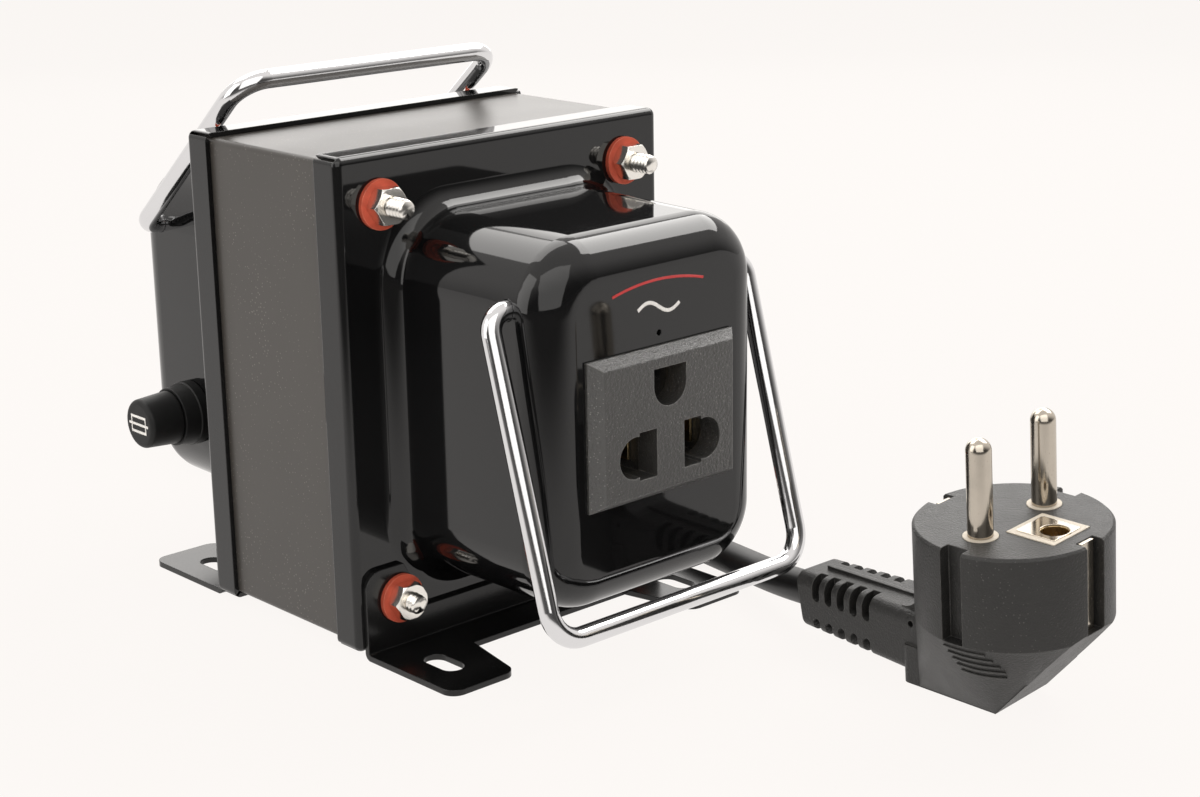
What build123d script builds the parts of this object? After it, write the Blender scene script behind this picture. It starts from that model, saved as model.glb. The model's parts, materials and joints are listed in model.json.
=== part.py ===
from build123d import *
import os
from math import sin, cos, tan, asin, atan2, radians, sqrt, pi, dist

os.makedirs("parts", exist_ok=True)

# Millimetres. X to the right, Y to the back, Z up; the front has the socket.

# Core of E and I laminations, its legs lying along X
core_width = 80.0
core_height = 96.0
stack_depth = 49.0
leg_height = 16.0
stack_fit = 0.05

# Band of sheet round the core
band_sheet = 0.8
band_fit = 0.1
band_bend = 1.1
band_seam = 0.6

# Pressed covers
cover_sheet = 1.0
cover_fit = 0.05
cover_lift = 1.5
lip_depth = 6.2
lip_slit = 0.7
slit_angle = 45.0
flange_corner = 1.6
flange_bend = 1.5
dome_half_width = 29.5
dome_half_height = 37.0
dome_corner = 14.0
dome_depth = 43.5
dome_edge = 8.0
dome_root = 4.5
dome_draft = 0.8
vent_radius = 0.6
vent_rise = 17.0

# Bolts, nuts and fibre washers
bolt_spacing_x = 64.0
bolt_spacing_z = 80.0
bolt_radius = 2.0
bolt_length = 61.0
bolt_clearance = 0.25
hex_across = 7.0
head_height = 2.8
nut_height = 3.2
hex_chamfer = 0.45
thread_fit = 0.03
washer_radius = 5.0
washer_sheet = 1.0

# Brackets
bracket_sheet = 1.2
bracket_half_width = 40.4
bracket_bend = 1.5
bracket_inner_bend = 0.4
ear_height = 18.4
ear_corner = 4.0
ear_inner_top = 30.9
ear_inner_low = 25.1
web_height = 8.0
web_reach = 36.0
tab_reach = 53.0
tab_inner_root = 21.0
tab_inner_tip = 24.5
tab_corner = 3.0
slot_length = 10.0
slot_width = 5.0
slot_reach = 40.0

# Bobbin and windings on the centre leg
bobbin_fit = 0.2
bobbin_wall = 1.2
bobbin_half_depth = 39.5
bobbin_side_gap = 0.3
bobbin_corner = 1.5
wrap_fit = 0.1
primary_build = 5.6
insulation_build = 0.5
secondary_build = 5.2
tape_build = 0.4
wrap_end_gap = 0.3

# Socket in the front dome
socket_drop = 0.7
socket_width = 38.4
socket_height = 29.5
socket_edge = 0.6
socket_rise = 3.0
raised_width = 34.0
raised_height = 26.2
raised_edge = 0.5
socket_neck_width = 32.0
socket_neck_height = 25.4
socket_neck_depth = 2.4
socket_fit = 0.15
blade_x = 5.95
blade_width = 4.7
blade_height = 9.5
blade_drop = 5.25
lobe_x = 9.25
lobe_radius = 4.15
round_radius = 4.3
round_rise = 7.6
round_flat = 3.5
back_share = 0.51
back_wall = 2.0
pocket_width = 11.4
pocket_height = 10.6
pocket_x = 8.5
round_pocket = 9.6
leaf = 0.6
leaf_width = 7.0
leaf_room = 3.0
tail_share = 0.237
tail_width = 3.0
earth_sleeve_radius = 3.2
earth_sleeve_wall = 0.6

# Fuse holder through the rear dome's left wall
fuse_share = 0.3865
fuse_z = 34.0
seat_fit = 0.15
collar_radius = 7.15
collar_length = 5.9
collar_rim = 2.4
collar_neck_radius = 6.95
collar_mouth_radius = 6.45
barrel_radius = 6.0
barrel_inside = 21.2
barrel_floor = 2.0
barrel_bore = 4.6
nut_across = 14.0
barrel_nut_height = 3.0
mouth_gap = 0.3
cap_radius = 5.95
cap_tip_radius = 5.4
cap_length = 7.9
cap_edge = 1.1
stem_radius = 4.25
stem_length = 3.0
spigot_radius = 1.6
spigot_fit = 0.05
spigot_length = 4.0
carrier_radius = 4.25
carrier_floor = 1.1
carrier_depth = 6.6
fuse_fit = 0.1
fuse_length = 20.0
fuse_radius = 2.6
fuse_cap_length = 5.0
fuse_cap_wall = 0.2
fuse_glass_wall = 0.5
fuse_wire_radius = 0.15
terminal_sheet = 0.7
terminal_width = 3.0
terminal_length = 6.0

# Carrying handles of bent wire
wire_radius = 2.0
wire_clearance = 0.08
pivot_setback = 10.35
pivot_z = 75.5
leg_x = 33.5
eye_bend = 4.0
grip_bend = 6.5
wire_inside = 4.2
front_leg = 62.4
front_stand_off = 4.35
rear_leg = 54.5
rear_fold_gap = 0.45
retainer_radius = 3.2
retainer_sheet = 1.0
retainer_gap = 0.95
retainer_fit = 0.02
running_gap = 0.3

# Leads inside the domes
lead_radius = 0.9
lead_gap = 0.1
lead_step = 2.2
jog_share = 0.3

# Cord and its relief in the rear dome's right wall
cord_radius = 3.5
relief_x = 54.3
relief_flange_radius = 6.6
relief_flange = 1.6
relief_neck_radius = 5.0
relief_neck_fit = 0.1
relief_shoulder = 1.6
relief_inside = 2.4
relief_root_radius = 5.6
relief_tip_radius = 4.5
relief_groove = 1.0
relief_groove_depth = 0.6
relief_grooves = 6
arc_share = 0.45
coil_x = 62.0
coil_y = 105.0
coil_radius = 43.5
coil_pitch = 7.5
coil_rise = 7.5
coil_half_turns = 4
coil_samples = 720

# Plug, lying on its back with the pins up, rolled onto one edge of its heel
plug_x = 35.05
plug_y = -129.1
plug_roll = 4.8
plug_radius = 18.5
plug_height = 36.4
plug_edge = 0.5
slant_foot = 1.2
slant_steepness = 1.12
heel_half_width = 7.9
heel_reach = 21.3
heel_block = 8.0
heel_edge = 1.5
skirt_foot = 3.6
skirt_top = 18.2
neck_start = 14.0
neck_width = 15.4
neck_height = 13.2
neck_bottom = 1.4
neck_reach = 48.5
neck_end_width = 11.8
neck_end_height = 11.8
neck_end_middle = 8.4
neck_corner = 2.4
neck_saddle = 4.5
spine_width = 1.0
spine_top = 15.0
rib_slots = 5
rib_slot_width = 2.0
rib_pitch = 3.45
rib_start = 31.1
rib_web = 5.8
upper_slot_foot = 9.4
lower_slot_top = 5.7
dimple_radius = 0.65
dimple_depth = 1.6
dimple_y = 19.2
dimple_z = 12.4
pin_radius = 2.4
pin_length = 19.0
pin_spacing = 19.0
pin_root = 12.0
pin_root_radius = 2.1
pin_root_lift = 0.05
pin_fit = 0.03
collar_ring_radius = 3.3
collar_ring_depth = 3.0
collar_ring_rise = 0.15
groove_width = 4.6
groove_depth = 2.6
clip_recess_width = 5.0
clip_recess_depth = 2.8
clip_floor = 18.7
clip_width = 3.6
clip_sheet = 0.8
insert_width = 10.8
insert_length = 10.6
insert_depth = 11.0
insert_y = 7.9
earth_hole_y = 9.4
insert_fit = 0.05
earth_hole_radius = 2.6
earth_tube_wall = 0.5

overrun = 2.0

# Places worked out from the sizes
band_half_width = core_width / 2 + band_fit + band_sheet
band_half_height = core_height / 2 + band_fit + band_sheet
cover_half_width = band_half_width + cover_fit + cover_sheet
cover_half_height = band_half_height + cover_fit + cover_sheet
mid_z = cover_lift + cover_half_height
sheet_in = stack_depth / 2 + stack_fit
sheet_out = sheet_in + cover_sheet
lip_end = sheet_in - lip_depth
face_reach = sheet_out + dome_depth
pivot_reach = face_reach - pivot_setback
winding_builds = (primary_build, insulation_build, secondary_build, tape_build)
winding_reach = stack_depth / 2 + bobbin_fit + bobbin_wall + sum(wrap_fit + build for build in winding_builds)
inside_room = face_reach - socket_neck_depth - winding_reach
back_depth = back_share * inside_room
tail_length = tail_share * inside_room
leaf_depth = back_depth - back_wall - leaf_room
fuse_back = winding_reach + fuse_share * (face_reach - winding_reach)
bolt_places = [
    (i * bolt_spacing_x / 2, mid_z + j * bolt_spacing_z / 2) for i in (-1, 1) for j in (-1, 1)]
socket_z = mid_z - socket_drop
blade_z = socket_z - blade_drop
round_z = socket_z + round_rise


def wall_at(reach):
    """Half width of a dome, outside, at a distance from the core's middle plane"""
    return dome_half_width - (reach - sheet_out) * tan(radians(dome_draft))


fuse_wall = wall_at(fuse_back)
collar_start = fuse_wall + seat_fit
collar_end = collar_start + collar_length
cap_start = collar_end + mouth_gap
cap_tip = cap_start + cap_length

# The front handle leans out past the dome's face; the rear one is folded just over the cover's top edge
front_out = pivot_setback + wire_radius + front_stand_off
front_down = sqrt(front_leg ** 2 - front_out ** 2)
edge_back = pivot_reach - sheet_out + flange_bend
edge_up = mid_z + cover_half_height - flange_bend - pivot_z
rear_rise = atan2(edge_up, edge_back) + asin(
    (flange_bend + wire_radius + rear_fold_gap) / sqrt(edge_back ** 2 + edge_up ** 2))
front_reach = pivot_reach + front_out + wire_radius
shift_x = (cap_tip - cover_half_width) / 2
shift_y = (front_reach - face_reach) / 2


def rod_x(start, end, radius, y, z):
    """Cylinder along X"""
    return Pos((start + end) / 2, y, z) * Rot(0, 90, 0) * Cylinder(radius, abs(end - start))


def rod_y(start, end, radius, x, z):
    """Cylinder along Y"""
    return Pos(x, (start + end) / 2, z) * Rot(90, 0, 0) * Cylinder(radius, abs(end - start))


def slab_y(start, end, width, height, x, z):
    """Block between two places along Y"""
    return Pos(x, (start + end) / 2, z) * Box(width, abs(end - start), height)


def turned(part):
    """The same piece turned half way round for the back"""
    return part.rotate(Axis.Z, 180)


# Covers
def pressing_form(
        half_width, half_height, corner, bend, start, plate, dome_w, dome_h, dome_r, face, edge, root):
    """Solid form of a pressing: a flat box with a drafted dome on its front"""
    flat = Pos(0, mid_z) * RectangleRounded(2 * half_width, 2 * half_height, corner)
    box = extrude(Plane.XZ.offset(start) * flat, plate - start)
    grow = (sheet_out - start) * tan(radians(dome_draft))
    foot = Pos(0, mid_z) * RectangleRounded(2 * (dome_w + grow), 2 * (dome_h + grow), dome_r)
    form = box + extrude(Plane.XZ.offset(start) * foot, face - start, taper=dome_draft)
    roots = [
        e for e in form.edges().filter_by_position(Axis.Y, -plate, -plate)
        if abs(e.center().X) < dome_w + edge and abs(e.center().Z - mid_z) < dome_h + root
    ]
    form = fillet(roots, root)
    form = fillet(form.edges().group_by(Axis.Y)[0], edge)
    rim = form.edges().filter_by_position(Axis.Y, -plate, -plate)
    rim = [e for e in rim if max(abs(e.center().X) - dome_w, abs(e.center().Z - mid_z) - dome_h) > 2 * root]
    return fillet(rim, bend)


def make_pressing():
    """Flange with a lip bent back, a deep dome, and the bolt and handle holes"""
    outer = pressing_form(
        cover_half_width, cover_half_height, flange_corner, flange_bend, lip_end, sheet_out,
        dome_half_width, dome_half_height, dome_corner, face_reach, dome_edge, dome_root)
    inner = pressing_form(
        cover_half_width - cover_sheet, cover_half_height - cover_sheet,
        flange_corner - cover_sheet, flange_bend - cover_sheet, lip_end - overrun, sheet_in,
        dome_half_width - cover_sheet, dome_half_height - cover_sheet,
        dome_corner - cover_sheet, face_reach - cover_sheet,
        dome_edge - cover_sheet, dome_root + cover_sheet)
    cover = outer - inner
    for i in (-1, 1):
        for j in (-1, 1):
            slit = Box(lip_slit, lip_depth + overrun, 2 * flange_corner + overrun)
            middle = -(sheet_in + lip_end - overrun) / 2
            place = Pos(i * cover_half_width, middle, mid_z + j * cover_half_height)
            cover -= place * Rot(0, slit_angle * i * j, 0) * slit
    for x, z in bolt_places:
        cover -= rod_y(-sheet_in + overrun, -sheet_out - overrun, bolt_radius + bolt_clearance, x, z)
    ends = dome_half_width + overrun
    cover -= rod_x(-ends, ends, wire_radius + wire_clearance, -pivot_reach, pivot_z)
    return cover


def make_front_cover(pressing):
    """Front pressing with the socket's opening"""
    width = socket_neck_width + 2 * socket_fit
    height = socket_neck_height + 2 * socket_fit
    cover = pressing - slab_y(-face_reach - overrun, -face_reach + overrun, width, height, 0, socket_z)
    return cover - rod_y(-face_reach - overrun, -face_reach + overrun, vent_radius, 0, socket_z + vent_rise)


def make_rear_cover(pressing):
    """Rear pressing with the holes of the fuse holder and the cord"""
    cover = turned(pressing)
    cover -= rod_x(-fuse_wall - overrun, -fuse_wall + overrun, barrel_radius + seat_fit, fuse_back, fuse_z)
    neck = relief_neck_radius + relief_neck_fit
    return cover - rod_x(fuse_wall - overrun, fuse_wall + overrun, neck, fuse_back, fuse_z)


def make_band():
    """Strip bent round the core, open at a seam below"""
    outer = Pos(0, mid_z) * RectangleRounded(2 * band_half_width, 2 * band_half_height, band_bend)
    inner = Pos(0, mid_z) * RectangleRounded(
        2 * (band_half_width - band_sheet), 2 * (band_half_height - band_sheet), band_bend - band_sheet)
    half = sheet_in - stack_fit - (flange_bend - cover_sheet)
    ring = extrude(Plane.XZ.offset(-half) * (outer - inner), 2 * half)
    return ring - Pos(0, 0, mid_z - band_half_height) * Box(band_seam, 2 * half + overrun, 2 * overrun)


# Core
def make_laminations():
    """E stack with its three legs, and the I stack that closes it"""
    half_w, half_h, half_d = core_width / 2, core_height / 2, stack_depth / 2
    leg_end = half_w - leg_height
    e_part = Pos(0, 0, mid_z) * Box(core_width, stack_depth, core_height)
    window = Box(2 * leg_end, stack_depth + overrun, leg_height)
    for side in (-1, 1):
        e_part -= Pos(0, 0, mid_z + side * (half_h - 1.5 * leg_height)) * window
    i_place = Pos((leg_end + half_w) / 2, 0, mid_z)
    e_part -= i_place * Box(leg_height, stack_depth + overrun, core_height + overrun)
    i_part = i_place * Box(leg_height, stack_depth, core_height)
    for x, z in bolt_places:
        hole = rod_y(-half_d - overrun, half_d + overrun, bolt_radius + bolt_clearance, x, z)
        e_part -= hole
        i_part -= hole
    return e_part, i_part


def wrap_x(half_y, half_z, corner, half_x):
    """Rounded bar along X round the centre leg"""
    face = Pos(0, mid_z) * RectangleRounded(2 * half_y, 2 * half_z, corner)
    return extrude(Plane.YZ.offset(-half_x) * face, 2 * half_x)


def make_bobbin_and_windings():
    """Bobbin, then each layer wound over the last"""
    half_x = core_width / 2 - leg_height - bobbin_fit
    half_y = stack_depth / 2 + bobbin_fit + bobbin_wall
    half_z = leg_height + bobbin_fit + bobbin_wall
    corner = bobbin_corner
    tube = wrap_x(half_y, half_z, corner, half_x)
    side_z = 2 * leg_height - bobbin_side_gap
    side_face = Pos(0, mid_z) * RectangleRounded(2 * bobbin_half_depth, 2 * side_z, corner)
    side = extrude(Plane.YZ * side_face, bobbin_wall)
    bobbin = tube + Pos(half_x - bobbin_wall, 0, 0) * side + Pos(-half_x, 0, 0) * side
    bore = Box(core_width, stack_depth + 2 * bobbin_fit, 2 * (leg_height + bobbin_fit))
    bobbin -= Pos(0, 0, mid_z) * bore
    layers = []
    wound_x = half_x - bobbin_wall - wrap_end_gap
    for build in winding_builds:
        inner = wrap_x(half_y + wrap_fit, half_z + wrap_fit, corner + wrap_fit, wound_x + overrun)
        half_y += wrap_fit + build
        half_z += wrap_fit + build
        corner += wrap_fit + build
        layers.append(wrap_x(half_y, half_z, corner, wound_x) - inner)
    return bobbin, layers


# Bolts, nuts, washers and brackets
def hex_piece(height):
    """Hexagon with its corners chamfered at both ends, along Z"""
    prism = extrude(RegularPolygon(hex_across / 2, 6, major_radius=False), height)
    round_bar = Pos(0, 0, height / 2) * Cylinder(hex_across / sqrt(3), height)
    return prism & chamfer(round_bar.edges().filter_by(GeomType.CIRCLE), hex_chamfer)


def seat_of(z):
    """How far the sheet and any bracket stand out under a washer"""
    return sheet_out + (bracket_sheet if z < mid_z else 0)


def make_bolts():
    """Four bolts through the core, heads at the back"""
    bolts = []
    for x, z in bolt_places:
        under_head = seat_of(z) + washer_sheet
        shank = rod_y(under_head, under_head - bolt_length, bolt_radius, x, z)
        shank = chamfer(shank.edges().group_by(Axis.Y)[0], hex_chamfer)
        head = Pos(x, under_head, z) * Rot(-90, 0, 0) * hex_piece(head_height)
        bolts.append(shank + head)
    return Compound(bolts)


def make_nuts():
    """Four nuts at the front"""
    nuts = []
    for x, z in bolt_places:
        start = -seat_of(z) - washer_sheet
        nut = Pos(x, start, z) * Rot(90, 0, 0) * hex_piece(nut_height)
        bore = rod_y(start + overrun, start - nut_height - overrun, bolt_radius + thread_fit, x, z)
        nuts.append(nut - bore)
    return Compound(nuts)


def make_washers(side):
    """Four fibre washers on one side: -1 is the front"""
    washers = []
    for x, z in bolt_places:
        start = side * seat_of(z)
        end = start + side * washer_sheet
        bore = rod_y(start - side * overrun, end + side * overrun, bolt_radius + bolt_clearance, x, z)
        washers.append(rod_y(start, end, washer_radius, x, z) - bore)
    return Compound(washers)


def make_bracket():
    """Angle strip: ears behind the lower washers, a web, and two slotted tabs"""
    plate_line = []
    for side in (-1, 1):
        half = [
            (side * bracket_half_width, -sheet_out), (side * bracket_half_width, -tab_reach),
            (side * tab_inner_tip, -tab_reach), (side * tab_inner_root, -web_reach)]
        plate_line += half if side < 0 else half[::-1]
    plate = extrude(make_face(Polyline(*plate_line, close=True)), bracket_sheet)
    tips = plate.edges().filter_by(Axis.Z).filter_by_position(Axis.Y, -tab_reach, -tab_reach)
    plate = fillet(tips, tab_corner)
    ear_line = [
        (-bracket_half_width, 0), (-bracket_half_width, ear_height),
        (-ear_inner_top, ear_height), (-ear_inner_low, web_height),
        (ear_inner_low, web_height), (ear_inner_top, ear_height),
        (bracket_half_width, ear_height), (bracket_half_width, 0)]
    ears = extrude(Plane.XZ.offset(sheet_out) * make_face(Polyline(*ear_line, close=True)), bracket_sheet)
    corners = ears.edges().filter_by(Axis.Y).filter_by_position(Axis.Z, ear_height, ear_height)
    ears = fillet([e for e in corners if abs(e.center().X) > ear_inner_top + ear_corner], ear_corner)
    bracket = plate + ears
    bends = (
        ((-sheet_out, 0), bracket_bend),
        ((-sheet_out - bracket_sheet, bracket_sheet), bracket_inner_bend))
    for corner, bend in bends:
        along = bracket.edges().filter_by(Axis.X)
        near = [e for e in along if dist((e.center().Y, e.center().Z), corner) < bracket_inner_bend]
        bracket = fillet(near, bend)
    for x, z in bolt_places:
        if z < mid_z:
            start, end = -sheet_out + overrun, -sheet_out - bracket_sheet - overrun
            bracket -= rod_y(start, end, bolt_radius + bolt_clearance, x, z)
            slot = extrude(Rot(0, 0, 90) * SlotOverall(slot_length, slot_width), bracket_sheet + 2 * overrun)
            bracket -= Pos(x, -slot_reach, -overrun) * slot
    return bracket


# Socket
def socket_holes(start, end):
    """The two lower holes, a flat slot merged with a round lobe, and the upper one with a flat top"""
    holes = Part()
    for side in (-1, 1):
        holes += slab_y(start, end, blade_width, blade_height, side * blade_x, blade_z)
        holes += rod_y(start, end, lobe_radius, side * lobe_x, blade_z)
    upper = rod_y(start, end, round_radius, 0, round_z)
    upper += slab_y(start, end, 2 * round_radius, round_flat, 0, round_z + round_flat / 2)
    above_z = round_z + round_flat + round_radius / 2
    return holes + (upper - slab_y(start, end, 2 * round_radius, round_radius, 0, above_z))


def make_socket_face():
    """Bevelled moulding on the dome's face, with a neck through the sheet"""
    edge_end = face_reach + socket_edge
    plate = slab_y(-face_reach, -edge_end, socket_width, socket_height, 0, socket_z)
    middle = Pos(0, socket_z)
    base = Plane.XZ.offset(edge_end) * (middle * Rectangle(socket_width, socket_height))
    top = Plane.XZ.offset(face_reach + socket_rise) * (middle * Rectangle(raised_width, raised_height))
    bevel = loft([base, top])
    bevel = fillet(bevel.edges().group_by(Axis.Y)[0], raised_edge)
    neck_back = -face_reach + socket_neck_depth
    neck = slab_y(neck_back, -face_reach, socket_neck_width, socket_neck_height, 0, socket_z)
    holes = socket_holes(neck_back + overrun, -face_reach - socket_rise - overrun)
    return plate + bevel + neck - holes


def make_socket_inside():
    """Housing behind the face, two leaf contacts and the earth sleeve"""
    front = face_reach - socket_neck_depth
    back = front - back_depth
    floor = back + back_wall
    tip = -floor - leaf_depth
    slot_thin = leaf + 2 * socket_fit
    slot_wide = tail_width + 2 * socket_fit
    housing = slab_y(-front, -back, socket_neck_width, socket_neck_height, 0, socket_z)
    contacts = []
    for side in (-1, 1):
        x = side * pocket_x
        housing -= slab_y(-front - overrun, -floor, pocket_width, pocket_height, x, blade_z)
        housing -= slab_y(-floor - overrun, -back + overrun, slot_thin, slot_wide, x, blade_z)
        width = pocket_width - 2 * socket_fit
        leaves = slab_y(-floor, tip, width, leaf_width, x, blade_z)
        leaves -= slab_y(-floor - leaf, tip - overrun, width - 2 * leaf, leaf_width + overrun, x, blade_z)
        contacts.append(leaves + slab_y(-floor - leaf, -back + tail_length, leaf, tail_width, x, blade_z))
    housing -= rod_y(-front - overrun, -floor, round_pocket / 2, 0, round_z)
    housing -= slab_y(-floor - overrun, -back + overrun, slot_wide, slot_thin, 0, round_z)
    sleeve = rod_y(-floor, tip, earth_sleeve_radius, 0, round_z)
    sleeve -= rod_y(-floor - leaf, tip - overrun, earth_sleeve_radius - earth_sleeve_wall, 0, round_z)
    sleeve += slab_y(-floor - leaf, -back + tail_length, tail_width, leaf, 0, round_z)
    return housing, Compound(contacts), sleeve, back - tail_length


# Fuse holder, its axis along X
def fuse_rod(start, end, radius):
    """Cylinder on the fuse holder's axis, its places given as distances to the left"""
    return rod_x(-start, -end, radius, fuse_back, fuse_z)


carrier_start = cap_start - stem_length - mouth_gap
fuse_start = carrier_start - carrier_floor - fuse_fit
fuse_end = fuse_start - fuse_length
barrel_end = fuse_wall - barrel_inside
bore_end = barrel_end + barrel_floor


def make_fuse_barrel():
    """Threaded barrel with a collar outside the wall, and its nut inside"""
    rim_end = collar_start + collar_rim
    barrel = fuse_rod(collar_start, rim_end, collar_radius)
    barrel = chamfer(barrel.edges().filter_by(GeomType.CIRCLE).sort_by(Axis.X)[0], hex_chamfer / 2)
    taper = Cone(collar_neck_radius, collar_mouth_radius, collar_end - rim_end)
    barrel += Pos(-(rim_end + collar_end) / 2, fuse_back, fuse_z) * Rot(0, -90, 0) * taper
    barrel += fuse_rod(collar_end, barrel_end, barrel_radius)
    barrel -= fuse_rod(collar_end + overrun, bore_end, barrel_bore)
    tab = Box(2 * barrel_floor + overrun, terminal_width + 2 * seat_fit, terminal_sheet + 2 * seat_fit)
    barrel -= Pos(-barrel_end, fuse_back, fuse_z) * tab
    nut_start = fuse_wall - cover_sheet - seat_fit
    nut = extrude(RegularPolygon(nut_across / 2, 6, major_radius=False, rotation=30), barrel_nut_height)
    nut = Pos(-nut_start, fuse_back, fuse_z) * Rot(0, 90, 0) * nut
    nut -= fuse_rod(nut_start + overrun, nut_start - barrel_nut_height - overrun, barrel_radius + pin_fit)
    return barrel, nut


def make_fuse_cap():
    """Turning cap, tapering to a rounded face, with a stem in the barrel's mouth"""
    cone = Cone(cap_radius, cap_tip_radius, cap_length)
    cone = fillet(cone.edges().filter_by(GeomType.CIRCLE).sort_by(Axis.Z)[-1], cap_edge)
    cap = Pos(-(cap_start + cap_tip) / 2, fuse_back, fuse_z) * Rot(0, -90, 0) * cone
    cap += fuse_rod(cap_start, cap_start - stem_length, stem_radius)
    reach = carrier_start + mouth_gap + spigot_length + spigot_fit
    return cap - fuse_rod(carrier_start, reach, spigot_radius + spigot_fit)


def make_fuse_carrier():
    """Cup that holds one end of the fuse, its spigot turning in the cap"""
    cup_end = carrier_start - carrier_floor - carrier_depth
    carrier = fuse_rod(carrier_start, cup_end, carrier_radius)
    carrier += fuse_rod(carrier_start, carrier_start + mouth_gap + spigot_length, spigot_radius)
    return carrier - fuse_rod(carrier_start - carrier_floor, cup_end - overrun, fuse_radius + fuse_fit)


def make_fuse():
    """Glass tube, two end caps and the wire between them"""
    glass_radius = fuse_radius - fuse_cap_wall - pin_fit
    inner_start = fuse_start - fuse_cap_wall
    inner_end = fuse_end + fuse_cap_wall
    glass = fuse_rod(inner_start, inner_end, glass_radius)
    glass -= fuse_rod(inner_start + overrun, inner_end - overrun, glass_radius - fuse_glass_wall)
    caps = []
    for outer, inward in ((fuse_start, -1), (fuse_end, 1)):
        cup = fuse_rod(outer, outer + inward * fuse_cap_length, fuse_radius)
        start, end = outer + inward * fuse_cap_wall, outer + inward * (fuse_cap_length + overrun)
        hollow = fuse_rod(start, end, fuse_radius - fuse_cap_wall)
        caps.append(cup - hollow)
    wire = fuse_rod(inner_start, inner_end, fuse_wire_radius)
    return glass, Compound(caps), wire


def make_fuse_terminals():
    """End terminal through the barrel's floor, and a strip along its side"""
    disc = fuse_rod(bore_end, fuse_end - running_gap, fuse_radius)
    tab_end = barrel_end - terminal_length
    middle = (bore_end + tab_end) / 2
    disc += Pos(-middle, fuse_back, fuse_z) * Box(bore_end - tab_end, terminal_width, terminal_sheet)
    strip_z = fuse_z + barrel_radius + pin_fit
    foot = Box(2 * terminal_width, terminal_width, terminal_sheet)
    upright = Box(terminal_sheet, terminal_width, terminal_length)
    strip = Pos(-(bore_end + terminal_width), fuse_back, strip_z + terminal_sheet / 2) * foot
    strip += Pos(-bore_end, fuse_back, strip_z + terminal_length / 2) * upright
    end_tab = (-tab_end, fuse_back, fuse_z)
    side_tab = (-bore_end, fuse_back, strip_z + terminal_length)
    return Compound([disc, strip]), end_tab, side_tab


# Handles
def make_handle(reach_y, out_y, out_z):
    """Bent wire from inside one dome wall to the other, its grip out_y and out_z from its pivot"""
    inner_x = wall_at(pivot_reach) - cover_sheet - wire_inside
    grip_y = reach_y + out_y
    grip_z = pivot_z + out_z
    corners = [
        (-inner_x, reach_y, pivot_z), (-leg_x, reach_y, pivot_z), (-leg_x, grip_y, grip_z),
        (leg_x, grip_y, grip_z), (leg_x, reach_y, pivot_z), (inner_x, reach_y, pivot_z)]
    path = FilletPolyline(*corners, radius=[eye_bend, grip_bend, grip_bend, eye_bend])
    start = Plane(origin=corners[0], z_dir=(-1, 0, 0))
    return sweep(start * Circle(wire_radius), path)


def make_retainers(reach_y):
    """Washer pressed on each end of a handle, inside the dome"""
    outer = wall_at(pivot_reach) - cover_sheet - retainer_gap
    rings = []
    for side in (-1, 1):
        start, end = side * outer, side * (outer - retainer_sheet)
        bore_radius = wire_radius + retainer_fit
        bore = rod_x(start + side * overrun, end - side * overrun, bore_radius, reach_y, pivot_z)
        rings.append(rod_x(start, end, retainer_radius, reach_y, pivot_z) - bore)
    return Compound(rings)


# Leads
def make_lead(points, bends):
    """Insulated wire along a bent path, starting square to its first run"""
    path = FilletPolyline(*points, radius=bends)
    start = Plane(origin=points[0], z_dir=path % 0)
    return sweep(start * Circle(lead_radius), path)


def make_output_leads(tail_reach):
    """From the winding's front to the socket's tails, and the earth lead to the dome's top"""
    leads = []
    start, end = -tail_reach + lead_gap, -winding_reach - lead_gap
    jog = jog_share * (end - start)
    for side in (-1, 1):
        x = side * pocket_x
        out = x + side * lead_step
        points = [
            (x, start, blade_z), (x, start + jog, blade_z),
            (out, end - jog, blade_z), (out, end, blade_z)]
        leads.append(make_lead(points, [lead_radius, lead_radius]))
    draft = (tail_reach - sheet_out) * tan(radians(dome_draft))
    top = mid_z + dome_half_height - cover_sheet - lead_gap - draft
    corner_y = (start + end) / 2
    earth = make_lead([(0, start, round_z), (0, corner_y, round_z), (0, corner_y, top)], [2 * lead_radius])
    return Compound(leads), earth


def make_supply_leads(end_tab, side_tab):
    """Cores of the cord to the fuse and the winding, and the lead from the fuse to the winding"""
    relief_end = fuse_wall - cover_sheet - seat_fit - relief_shoulder - relief_inside - lead_gap
    stop_y = winding_reach + lead_gap
    tab_x = end_tab[0] + lead_gap
    middle = (relief_end + tab_x) / 2
    live = make_lead(
        [(relief_end, fuse_back, fuse_z - lead_step), (middle + lead_step, fuse_back, fuse_z - lead_step),
         (middle - lead_step, fuse_back, fuse_z), (tab_x, fuse_back, fuse_z)], [2 * lead_step, 2 * lead_step])
    turn_x = relief_end - 2 * lead_step
    neutral = make_lead(
        [(relief_end, fuse_back, fuse_z + lead_step), (turn_x, fuse_back, fuse_z + lead_step),
         (turn_x, stop_y, fuse_z + lead_step)], [lead_step])
    rise = side_tab[2] + lead_gap
    top = rise + 2 * lead_step
    x, y = side_tab[:2]
    fused = make_lead([(x, y, rise), (x, y, top), (x, stop_y, top)], [lead_step])
    return Compound([live, neutral]), fused


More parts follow.
